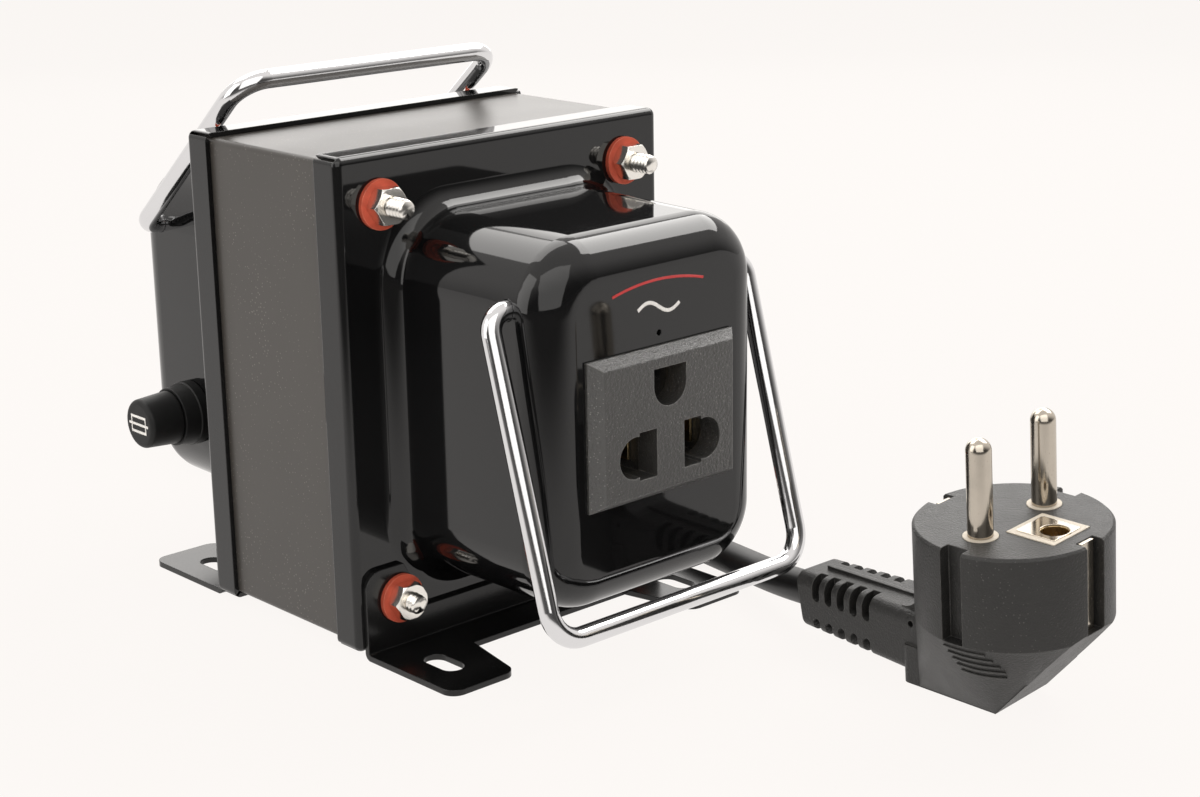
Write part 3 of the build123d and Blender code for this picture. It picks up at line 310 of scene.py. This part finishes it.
finishes = dict(
    enamel=makeFinish(
        "glossEnamel", (0.004, 0.004, 0.0042), 0.05, fine=260, coarse=45, fineShare=0.3, bump=0.12,
        depth=0.06, roughSpread=0.02, edgeColour=(0.03, 0.03, 0.03), edgeGain=1.0,
        dustColour=(0.06, 0.055, 0.05), dustScale=700, dustSize=0.05),
    band_enamel=makeFinish(
        "satinEnamel", (0.05, 0.045, 0.04), 0.34, fine=1600, coarse=50, depth=0.03, roughSpread=0.04,
        dustColour=(0.13, 0.12, 0.107), dustScale=1100, dustSize=0.28),
    bracket_enamel=makeFinish(
        "bracketEnamel", (0.006, 0.006, 0.006), 0.2, specular=0.4, fine=400, bump=0.15, roughSpread=0.04,
        edgeColour=(0.04, 0.04, 0.04), edgeGain=2.0, dustColour=(0.08, 0.075, 0.07), dustScale=800,
        dustSize=0.07),
    plated_steel=makeFinish(
        "platedSteel", (0.86, 0.83, 0.78), 0.2, metal=1.0, fine=1500, coarse=200, bump=0.15, depth=0.02,
        tone=0.12, roughSpread=0.1, edgeColour=(0.9, 0.87, 0.82), edgeRadius=0.15),
    red_fibre=makeFinish(
        "redFibre", (0.52, 0.085, 0.045), 0.7, specular=0.3, fine=1800, coarse=500, bump=0.5, depth=0.12,
        tone=0.35, edgeColour=(0.9, 0.36, 0.24), edgeGain=2.2, edgeRadius=0.25),
    lamination_steel=makeFinish(
        "laminationSteel", (0.3, 0.3, 0.31), 0.4, metal=1.0, fine=1200, coarse=80, bump=0.2),
    bobbin_plastic=makeFinish("bobbinPlastic", (0.75, 0.73, 0.66), 0.45, coarse=80),
    copper_wire=makeFinish("copperWire", (0.72, 0.3, 0.12), 0.3, metal=1.0, fine=1400, coarse=300, bump=0.3),
    wrap_paper=makeFinish("wrapPaper", (0.55, 0.45, 0.28), 0.7, fine=1200, coarse=150, bump=0.3),
    wrap_tape=makeFinish("wrapTape", (0.72, 0.6, 0.2), 0.35, coarse=100),
    # its pale edge colour is a painted highlight on the socket's edges and hole rims, together with rubbed
    # wear
    socket_plastic=makeFinish(
        "socketPlastic", (0.036, 0.035, 0.033), 0.36, specular=1.0, fine=1700, coarse=500, fineShare=0.75,
        bump=0.9, depth=0.45, tone=0.25, edgeColour=(0.34, 0.33, 0.31), edgeGain=2.2, edgeRadius=0.35,
        dustColour=(0.17, 0.165, 0.155), dustScale=1500, dustSize=0.3),
    contact_brass=makeFinish("contactBrass", (0.66, 0.5, 0.27), 0.28, metal=1.0, fine=1200, coarse=200),
    fuse_plastic=makeFinish(
        "fusePlastic", (0.006, 0.006, 0.006), 0.5, specular=0.3, fine=1700, coarse=300, bump=0.3,
        edgeColour=(0.05, 0.05, 0.05), edgeGain=1.5),
    nickel=makeFinish(
        "nickel", (0.52, 0.47, 0.4), 0.15, metal=1.0, fine=700, coarse=160, bump=0.12, depth=0.03, tone=0.18,
        roughSpread=0.12, dustColour=(0.3, 0.26, 0.2), dustSize=0.12),
    lead_plastic=makeFinish("leadPlastic", (0.35, 0.02, 0.02), 0.4, coarse=100),
    earth_plastic=makeFinish("earthPlastic", (0.1, 0.4, 0.06), 0.4, coarse=100),
    chrome_wire=makeFinish(
        "chromeWire", (0.74, 0.74, 0.75), 0.07, metal=1.0, fine=500, bump=0.05, depth=0.02, tone=0.05,
        roughSpread=0.04),
    cord_rubber=makeFinish(
        "cordRubber", (0.008, 0.008, 0.0083), 0.42, specular=0.35, fine=1500, coarse=120, bump=0.2,
        dustColour=(0.08, 0.075, 0.07), dustSize=0.09),
    plug_plastic=makeFinish(
        "plugPlastic", (0.018, 0.0175, 0.0165), 0.42, specular=0.4, fine=2300, coarse=260, fineShare=0.7,
        bump=0.8, depth=0.3, tone=0.2, edgeColour=(0.15, 0.145, 0.135), edgeGain=1.8, edgeRadius=0.35,
        dustColour=(0.085, 0.082, 0.077), dustScale=1300, dustSize=0.22),
    pale_plastic=makeFinish(
        "palePlastic", (0.64, 0.57, 0.47), 0.5, fine=1400, coarse=200, bump=0.2, tone=0.08),
    fuse_glass=makeGlass("fuseGlass"))

whiteInk = makeFinish("whiteInk", (0.82, 0.8, 0.77), 0.45, fine=1500, coarse=300, bump=0.2, tone=0.1)
redInk = makeFinish("redInk", (0.55, 0.03, 0.03), 0.4, fine=1500, coarse=300, bump=0.2, tone=0.12)

# each node of the frame comes with a material that is named after its slot
for node in cadNodes.values():
    slotName = node.material_slots[0].material.name.split(".")[0]
    for materialSlot in node.material_slots:
        materialSlot.material = finishes[slotName]
print("finishes made,", len(finishes))


def settle(piece, slotName, body, *nodes, material=None):
    # gives a finished piece its finish, its body and the nodes that it stands for
    piece.data.materials.clear()
    piece.data.materials.append(material or finishes[slotName])
    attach(piece, body)
    if nodes:
        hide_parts(*nodes)
    return piece


def newMeshObject(name, vertices, faces, sharp):
    # smooth all over, but hard at edges of more than the sharp angle, in degrees
    mesh = bpy.data.meshes.new(name)
    mesh.from_pydata([tuple(v) for v in vertices], [], faces)
    mesh.update()
    mesh.shade_smooth()
    mesh.set_sharp_from_angle(angle=radians(sharp))
    piece = bpy.data.objects.new(name, mesh)
    bpy.context.scene.collection.objects.link(piece)
    return piece


settle(cordLine, "cord_rubber", "chassis", "cord_exit_run", "cord_coil", "cord_plug_run")


# Bolts: a hexagon head and plain shank in mesh, the thread and the four places by Geometry Nodes
boltSizes = dict(across=7.0, headHeight=2.8, chamfer=0.45, chamferSlope=1.6, headSides=72, shankSides=36,
                 radius=2.0, length=61.0, thread=22.0, pitch=1.0, depth=0.5, grooveShape=1.4, threadSides=40,
                 threadRows=220, flatEnd=0.99546, spacingX=64.0, spacingZ=80.0, middleZ=51.45,
                 underHead=26.55, lowerStep=1.2)
boltInputs = {"Radius": "radius", "Pitch": "pitch", "Depth": "depth", "Thread": "thread", "Length": "length",
              "Spacing X": "spacingX", "Spacing Z": "spacingZ", "Lower Step": "lowerStep"}


def makeBoltBlank(b):
    # head above z = 0 and shank below it, round the z axis; the threaded end is left to the nodes
    around, shank = b["headSides"], b["shankSides"]
    outer = b["across"] / sqrt(3)
    levels = [(0.0, outer - b["chamfer"] / 2), (b["chamfer"] / 2, outer),
              (b["headHeight"] - b["chamfer"], outer),
              (b["headHeight"], outer - b["chamfer"] * b["chamferSlope"])]
    vertices, faces = [], []
    for z, limit in levels:
        for i in range(around):
            turn = 2 * pi * i / around
            flat = b["across"] / 2 / cos((turn + pi / 6) % (pi / 3) - pi / 6)
            r = min(flat, limit)
            vertices.append((mm(r * cos(turn)), mm(r * sin(turn)), mm(z)))
    for ring in range(len(levels) - 1):
        low, high = ring * around, (ring + 1) * around
        for i in range(around):
            j = (i + 1) % around
            faces.append((low + i, low + j, high + j, high + i))
    shankStart = len(vertices)
    faces.append(tuple(range(shankStart - around, shankStart)))
    for z in (0.0, b["thread"] - b["length"]):
        for i in range(shank):
            turn = 2 * pi * i / shank
            vertices.append((mm(b["radius"] * cos(turn)), mm(b["radius"] * sin(turn)), mm(z)))
    shankEnd = shankStart + shank
    for i in range(shank):
        j = (i + 1) % shank
        faces.append((shankStart + i, shankEnd + i, shankEnd + j, shankStart + j))
    faces.append(tuple(shankEnd + i for i in range(shank))[::-1])
    under = len(vertices)
    vertices.append((0, 0, 0))
    for i in range(around):
        faces.append((under, (i + 1) % around, i))
    return newMeshObject("throughBolts", vertices, faces, sharp=30)


def newGeometryTree(name, inputs):
    tree = bpy.data.node_groups.new(name, "GeometryNodeTree")
    sockets = tree.interface
    sockets.new_socket(name="Geometry", in_out="INPUT", socket_type="NodeSocketGeometry")
    identifiers = {}
    for label, kind in inputs:
        identifiers[label] = sockets.new_socket(name=label, in_out="INPUT", socket_type=kind).identifier
    sockets.new_socket(name="Geometry", in_out="OUTPUT", socket_type="NodeSocketGeometry")
    return tree, tree.nodes.new("NodeGroupInput"), tree.nodes.new("NodeGroupOutput"), identifiers


def runTree(piece, tree, identifiers, values):
    # sets the inputs, bakes the result to a plain mesh and takes the modifier off
    modifier = piece.modifiers.new("nodes", "NODES")
    modifier.node_group = tree
    for label, value in values.items():
        modifier[identifiers[label]] = value
    bpy.context.view_layer.update()
    evaluated = piece.evaluated_get(bpy.context.evaluated_depsgraph_get())
    mesh = bpy.data.meshes.new_from_object(evaluated)
    piece.modifiers.clear()
    piece.data = mesh


def makeThreadTree(sizes):
    # a sheet of points is wound round the axis and cut by a screw line, and the whole bolt goes to
    # four corners
    tree, start, end, identifiers = newGeometryTree(
        "threadedBolts",
        [(label, "NodeSocketFloat") for label in boltInputs] + [("Finish", "NodeSocketMaterial")])
    take = start.outputs

    def calc(operation, a, b=None):
        return mathNode(tree, operation, a, b)

    grid = addNode(tree, "GeometryNodeMeshGrid",
                   {"Size X": 1.0, "Size Y": 1.0, "Vertices X": sizes["threadSides"] + 1,
                    "Vertices Y": sizes["threadRows"] + 1})
    position = addNode(tree, "GeometryNodeInputPosition")
    split = addNode(tree, "ShaderNodeSeparateXYZ")
    tree.links.new(position.outputs[0], split.inputs[0])
    across = calc("ADD", split.outputs[0], 0.5)
    down = calc("ADD", split.outputs[1], 0.5)
    depthDown = calc("MULTIPLY", down, take["Thread"])
    # the groove is deepest where the count of turns is whole
    phase = calc("FRACT", calc("ADD", calc("DIVIDE", depthDown, take["Pitch"]), across))
    groove = calc("ABSOLUTE", calc("SUBTRACT", calc("MULTIPLY", phase, 2.0), 1.0))
    cut = calc("MULTIPLY", calc("POWER", groove, sizes["grooveShape"]), take["Depth"])
    threaded = calc("SUBTRACT", take["Radius"], cut)
    # a slope of 45 degrees down to the core at the tip, and the last row in the middle to close it
    core = calc("SUBTRACT", take["Radius"], take["Depth"])
    slope = calc("ADD", core, calc("SUBTRACT", take["Thread"], depthDown))
    beforeLast = calc("LESS_THAN", down, 1 - 0.5 / sizes["threadRows"])
    radius = calc("MULTIPLY", calc("MINIMUM", threaded, slope), beforeLast)
    turn = calc("MULTIPLY", across, -2 * pi)
    x = calc("MULTIPLY", radius, calc("COSINE", turn))
    y = calc("MULTIPLY", radius, calc("SINE", turn))
    plain = calc("SUBTRACT", take["Length"], take["Thread"])
    # the point that closes the tip stays level with the row before it
    deepest = calc("MULTIPLY", take["Thread"], sizes["flatEnd"])
    z = calc("MULTIPLY", calc("ADD", plain, calc("MINIMUM", depthDown, deepest)), -1.0)
    place = addNode(tree, "ShaderNodeCombineXYZ")
    for i, value in enumerate((x, y, z)):
        tree.links.new(value, place.inputs[i])
    move = addNode(tree, "GeometryNodeSetPosition")
    tree.links.new(grid.outputs["Mesh"], move.inputs["Geometry"])
    tree.links.new(place.outputs[0], move.inputs["Position"])
    merge = addNode(tree, "GeometryNodeMergeByDistance", {"Distance": 0.00001})
    tree.links.new(move.outputs[0], merge.inputs["Geometry"])
    smooth = addNode(tree, "GeometryNodeSetShadeSmooth")
    tree.links.new(merge.outputs[0], smooth.inputs["Geometry"])
    whole = addNode(tree, "GeometryNodeJoinGeometry")
    tree.links.new(take["Geometry"], whole.inputs[0])
    tree.links.new(smooth.outputs[0], whole.inputs[0])
    # the corners of a grid are the bolts' places; the lower two bolts sit a step further back
    corners = addNode(tree, "GeometryNodeMeshGrid", {"Vertices X": 2, "Vertices Y": 2})
    tree.links.new(take["Spacing X"], corners.inputs["Size X"])
    tree.links.new(take["Spacing Z"], corners.inputs["Size Y"])
    cornerPlace = addNode(tree, "GeometryNodeInputPosition")
    cornerSplit = addNode(tree, "ShaderNodeSeparateXYZ")
    tree.links.new(cornerPlace.outputs[0], cornerSplit.inputs[0])
    lift = addNode(tree, "ShaderNodeCombineXYZ")
    low = calc("LESS_THAN", cornerSplit.outputs[1], 0.0)
    tree.links.new(calc("MULTIPLY", low, take["Lower Step"]), lift.inputs[2])
    shift = addNode(tree, "GeometryNodeSetPosition")
    tree.links.new(corners.outputs["Mesh"], shift.inputs["Geometry"])
    tree.links.new(lift.outputs[0], shift.inputs["Offset"])
    onPoints = addNode(tree, "GeometryNodeInstanceOnPoints")
    tree.links.new(shift.outputs[0], onPoints.inputs["Points"])
    tree.links.new(whole.outputs[0], onPoints.inputs["Instance"])
    real = addNode(tree, "GeometryNodeRealizeInstances")
    tree.links.new(onPoints.outputs[0], real.inputs[0])
    finish = addNode(tree, "GeometryNodeSetMaterial")
    tree.links.new(real.outputs[0], finish.inputs["Geometry"])
    tree.links.new(take["Finish"], finish.inputs["Material"])
    tree.links.new(finish.outputs[0], end.inputs[0])
    return tree, identifiers


throughBolts = makeBoltBlank(boltSizes)
threadTree, threadInputs = makeThreadTree(boltSizes)
threadValues = {label: mm(boltSizes[key]) for label, key in boltInputs.items()}
runTree(throughBolts, threadTree, threadInputs, {**threadValues, "Finish": finishes["plated_steel"]})
# the nodes work with the heads up; here they turn to the back
headsToBack = Matrix(((-1, 0, 0, 0), (0, 0, 1, 0), (0, 1, 0, 0), (0, 0, 0, 1)))
boltMiddle = spot(0, boltSizes["underHead"], boltSizes["middleZ"])
throughBolts.data.transform(Matrix.Translation(boltMiddle) @ headsToBack)
settle(throughBolts, "plated_steel", "chassis", "through_bolts")
print("bolts threaded")


# Marks: flat ink lines on a face
def inkLine(name, points, width, height, toPlace, closed=False):
    # a ribbon along points in a plane; toPlace(u, v, h) puts it on the piece
    vertices, faces = [], []
    count = len(points)
    for i, (u, v) in enumerate(points):
        before = points[i - 1] if i or closed else points[0]
        after = points[(i + 1) % count] if i < count - 1 or closed else points[-1]
        du, dv = after[0] - before[0], after[1] - before[1]
        size = hypot(du, dv)
        nu, nv = -dv / size * width / 2, du / size * width / 2
        for h in (0, height):
            vertices.append(toPlace(u + nu, v + nv, h))
            vertices.append(toPlace(u - nu, v - nv, h))
    spans = count if closed else count - 1
    for i in range(spans):
        a, b = 4 * i, 4 * ((i + 1) % count)
        faces += [(a, b, b + 1, a + 1), (a + 2, a + 3, b + 3, b + 2), (a, a + 2, b + 2, b),
                  (a + 1, b + 1, b + 3, a + 3)]
    if not closed:
        last = 4 * (count - 1)
        faces += [(0, 1, 3, 2), (last, last + 2, last + 3, last + 1)]
    piece = newMeshObject(name, vertices, faces, sharp=30)
    solid = bmesh.new()
    solid.from_mesh(piece.data)
    bmesh.ops.recalc_face_normals(solid, faces=solid.faces)
    solid.to_mesh(piece.data)
    solid.free()
    return piece


markSizes = dict(faceY=-69.05, ink=0.04, waveZ=72.9, waveWidth=11.0, waveHeight=2.3, waveLine=0.75,
                 waveSteps=40, bowZ=76.6, bowWidth=24.0, bowRise=1.6, bowLine=0.55, bowSteps=30)


def onDomeFace(u, v, h):
    return spot(u, markSizes["faceY"] - h, v)


def makeWave(m):
    steps = m["waveSteps"]
    points = [(m["waveWidth"] * (i / steps - 0.5), m["waveZ"] + m["waveHeight"] * sin(2 * pi * i / steps) / 2)
              for i in range(steps + 1)]
    return inkLine("outputMark", points, m["waveLine"], m["ink"], onDomeFace)


def makeBow(m):
    steps = m["bowSteps"]
    points = [(m["bowWidth"] * (i / steps - 0.5), m["bowZ"] + m["bowRise"] * (1 - (2 * i / steps - 1) ** 2))
              for i in range(steps + 1)]
    return inkLine("outputLine", points, m["bowLine"], m["ink"], onDomeFace)


settle(makeWave(markSizes), "enamel", "chassis", material=whiteInk)
settle(makeBow(markSizes), "enamel", "chassis", material=redInk)

fuseMark = dict(x=-43.4086, y=50.0, z=34.0, width=7.6, frameWidth=5.472, height=3.4, frameLine=0.75,
                frameInk=0.04, wireLine=0.6, wireInk=0.052)


def onFuseCap(u, v, h):
    return spot(fuseMark["x"] - h, fuseMark["y"] - u, fuseMark["z"] + v)


def makeFuseFrame(m):
    halfW, halfH = m["frameWidth"] / 2, m["height"] / 2
    corners = [(-halfW, -halfH), (halfW, -halfH), (halfW, halfH), (-halfW, halfH)]
    return inkLine("fuseMarkFrame", corners, m["frameLine"], m["frameInk"], onFuseCap, closed=True)


def makeFuseWire(m):
    ends = [(-m["width"] / 2, 0), (m["width"] / 2, 0)]
    return inkLine("fuseMarkLine", ends, m["wireLine"], m["wireInk"], onFuseCap)


settle(makeFuseFrame(fuseMark), "fuse_plastic", "fuse_cap_body", material=whiteInk)
settle(makeFuseWire(fuseMark), "fuse_plastic", "fuse_cap_body", material=whiteInk)
print("marks drawn")


# Plug: the fair skirt between its round body and its heel, fine raised lines on it, and the plate in
# its pale insert, all in the plug's own frame
plugPlace = dict(x=35.05, y=-129.1, lift=0.661, roll=4.8)


def plugSpot(x, y, z):
    tilt = radians(plugPlace["roll"])
    return spot(plugPlace["x"] + x * cos(tilt) - z * sin(tilt), plugPlace["y"] + y,
                plugPlace["lift"] + x * sin(tilt) + z * cos(tilt))


skirtSizes = dict(rimZ=18.2, rimRadius=18.45, rimSteps=96, heelHalf=7.85, heelTop=7.95, heelBack=17.0,
                  footZ=0.05, slantFoot=1.14, slantSteepness=1.12)


def skirtCorners(s):
    # the round rim above and the heel's block below, both cut off at the slant
    def front(z):
        return -s["slantFoot"] - (z - s["footZ"]) / s["slantSteepness"]

    corners = []
    reach = front(s["rimZ"])
    half = sqrt(s["rimRadius"] ** 2 - reach ** 2)
    start = atan2(reach, half)
    for i in range(s["rimSteps"] + 1):
        turn = start + (pi - 2 * start) * i / s["rimSteps"]
        corners.append((s["rimRadius"] * cos(turn), s["rimRadius"] * sin(turn), s["rimZ"]))
    for side in (-1, 1):
        for z in (s["footZ"], s["heelTop"]):
            corners += [(side * s["heelHalf"], y, z) for y in (front(z), s["heelBack"])]
    return corners


def makeSkirt(s):
    # the hull round those corners, as a piece and as a surface to lay the lines on
    solid = bmesh.new()
    for corner in skirtCorners(s):
        solid.verts.new(corner)
    bmesh.ops.convex_hull(solid, input=solid.verts)
    bmesh.ops.delete(solid, geom=[v for v in solid.verts if not v.link_faces], context="VERTS")
    bmesh.ops.recalc_face_normals(solid, faces=solid.faces)
    solid.verts.index_update()
    surface = BVHTree.FromBMesh(solid)
    vertices = [plugSpot(*v.co) for v in solid.verts]
    faces = [[v.index for v in face.verts] for face in solid.faces]
    solid.free()
    return newMeshObject("plugSkirt", vertices, faces, sharp=20), surface


plugSkirt, skirtSurface = makeSkirt(skirtSizes)
plugDetails = [settle(plugSkirt, "plug_plastic", "chassis")]

# each run is a line's height and its two ends along the plug
lineSizes = dict(width=0.4, rise=0.3, sink=0.02, steps=24, outside=-40.0,
                 runs=((17.0, 2.5, -6.0), (15.5, 2.2, -6.8), (14.0, 1.9, -7.4), (12.5, 1.6, -7.6),
                       (11.0, 1.3, -7.2)))


def onSkirt(u, v, h):
    # u along the plug and v its height, h out from the skirt's left side
    place, way = skirtSurface.ray_cast(Vector((lineSizes["outside"], u, v)), Vector((1, 0, 0)))[:2]
    return plugSpot(*(place + way * (h - lineSizes["sink"])))


def makeSkirtLine(name, height, start, end):
    steps = lineSizes["steps"]
    points = [(start + (end - start) * i / steps, height) for i in range(steps + 1)]
    return inkLine(name, points, lineSizes["width"], lineSizes["rise"], onSkirt)


for i, run in enumerate(lineSizes["runs"]):
    plugDetails.append(settle(makeSkirtLine("skirtLine" + str(i + 1), *run), "plug_plastic", "chassis"))

plateSizes = dict(half=4.1, front=-12.3, back=-3.6, holeY=-9.4, holeRadius=2.7, topZ=36.55, rise=0.12,
                  sink=0.02, sides=72)


def makeEarthPlate(p):
    # flat plate with a round hole: an outer rectangle and an inner circle, joined round both faces
    around, vertices, faces = p["sides"], [], []
    for i in range(around):
        turn = 2 * pi * (i + 0.5) / around
        cx, cy = cos(turn), sin(turn)
        reachX = p["half"] / abs(cx)
        reachY = (p["back"] - p["holeY"] if cy > 0 else p["holeY"] - p["front"]) / abs(cy)
        for radius in (min(reachX, reachY), p["holeRadius"]):
            for z in (p["topZ"] - p["sink"], p["topZ"] + p["rise"]):
                vertices.append(plugSpot(radius * cx, p["holeY"] + radius * cy, z))
    for i in range(around):
        a, b = 4 * i, 4 * ((i + 1) % around)
        faces += [(a, b, b + 1, a + 1), (b + 2, a + 2, a + 3, b + 3), (a + 1, b + 1, b + 3, a + 3),
                  (b, a, a + 2, b + 2)]
    return newMeshObject("earthPlate", vertices, faces, sharp=30)


plugDetails.append(settle(makeEarthPlate(plateSizes), "nickel", "chassis"))
print("plug details made")


# Floor, world and lamps. The shine tells how pale the studio looks in shiny surfaces: pale behind and
# above, dark towards the camera
paleGround = (0.973, 0.94, 0.914)
floorSizes = dict(half=4.0, z=-0.00005, glow=0.97)
floorShine = dict(coordinate="Object", way=(0.7, 0.7, 0.0), low=-0.32, high=-0.13, dark=0.1, pale=1.0)
worldShine = dict(coordinate="Generated", way=(0.35, 0.5, 0.79), low=-0.3, high=0.45, dark=0.08, pale=1.0)
worldFill = dict(colour=(1.0, 0.985, 0.97), strength=0.28)


def paleShare(tree, coordinate, way, low, high, dark, pale):
    place = addNode(tree, "ShaderNodeTexCoord")
    along = addNode(tree, "ShaderNodeVectorMath", {1: way}, operation="DOT_PRODUCT")
    share = rangeNode(tree, low, high, dark, pale, interpolation_type="SMOOTHSTEP")
    tree.links.new(place.outputs[coordinate], along.inputs[0])
    tree.links.new(along.outputs["Value"], share.inputs[0])
    return share.outputs[0]


def mixShaders(tree, share, first, second):
    mix = addNode(tree, "ShaderNodeMixShader")
    for i, value in enumerate((share, first, second)):
        tree.links.new(value, mix.inputs[i])
    return mix.outputs[0]


def makeFloor(f):
    half = f["half"]
    mesh = bpy.data.meshes.new("floor")
    corners = [(-half, -half, 0), (half, -half, 0), (half, half, 0), (-half, half, 0)]
    mesh.from_pydata(corners, [], [(0, 1, 2, 3)])
    floor = bpy.data.objects.new("floor", mesh)
    floor.location.z = f["z"]
    bpy.context.scene.collection.objects.link(floor)
    material, tree, shader = newMaterial(
        "paleFloor", {"Base Color": (*paleGround, 1), "Roughness": 0.9, "Specular IOR Level": 0.0})
    glow = addNode(tree, "ShaderNodeEmission", {"Color": (*paleGround, 1)})
    path = addNode(tree, "ShaderNodeLightPath")
    seen = mathNode(tree, "MAXIMUM", path.outputs["Is Camera Ray"], path.outputs["Is Glossy Ray"])
    seen = mathNode(tree, "MAXIMUM", seen, path.outputs["Is Transmission Ray"])
    straight = mathNode(tree, "SUBTRACT", 1.0, path.outputs["Is Glossy Ray"])
    strength = mathNode(tree, "MAXIMUM", paleShare(tree, **floorShine), straight)
    tree.links.new(strength, glow.inputs["Strength"])
    share = mathNode(tree, "MULTIPLY", seen, f["glow"])
    surface = mixShaders(tree, share, shader.outputs[0], glow.outputs[0])
    tree.links.new(surface, tree.nodes["Material Output"].inputs["Surface"])
    mesh.materials.append(material)


def makeWorld():
    world = bpy.data.worlds.new("studio")
    bpy.context.scene.world = world
    world.use_nodes = True
    tree = world.node_tree
    tree.nodes.clear()
    ground = addNode(tree, "ShaderNodeBackground", {"Color": (*paleGround, 1), "Strength": 1.0})
    mirrored = addNode(tree, "ShaderNodeBackground", {"Color": (*paleGround, 1)})
    fill = addNode(tree, "ShaderNodeBackground",
                   {"Color": (*worldFill["colour"], 1), "Strength": worldFill["strength"]})
    tree.links.new(paleShare(tree, **worldShine), mirrored.inputs["Strength"])
    path = addNode(tree, "ShaderNodeLightPath")
    straight = mathNode(tree, "MAXIMUM", path.outputs["Is Camera Ray"], path.outputs["Is Transmission Ray"])
    lighting = mixShaders(tree, path.outputs["Is Glossy Ray"], fill.outputs[0], mirrored.outputs[0])
    surface = mixShaders(tree, straight, lighting, ground.outputs[0])
    tree.links.new(surface, addNode(tree, "ShaderNodeOutputWorld").inputs["Surface"])


lampColour, lampTarget = (1.0, 0.98, 0.955), spot(0, 0, 45)
lamps = dict(
    topBack=dict(place=(60, 420, 700), size=(600, 460), power=2.4),
    farBack=dict(place=(500, 545, 330), size=(700, 460), power=1.5),
    rightTop=dict(place=(560, -10, 650), size=(640, 420), power=5.2),
    frontLeft=dict(place=(-350, -500, 420), size=(800, 800), power=2.8),
    leftSide=dict(place=(-640, 200, 300), size=(420, 700), power=1.6))


def makeLamp(name, place, size, power):
    data = bpy.data.lights.new(name, "AREA")
    data.shape = "RECTANGLE"
    data.size, data.size_y = mm(size[0]), mm(size[1])
    data.energy = power
    data.color = lampColour
    lamp = bpy.data.objects.new(name, data)
    lamp.location = spot(*place)
    lamp.rotation_euler = (lampTarget - lamp.location).to_track_quat("-Z", "Y").to_euler()
    bpy.context.scene.collection.objects.link(lamp)


makeFloor(floorSizes)
makeWorld()
for lampName, lampSizes in lamps.items():
    makeLamp(lampName, **lampSizes)
bpy.context.scene.view_settings.view_transform = "Standard"
print("stage lit")

bpy.context.view_layer.update()
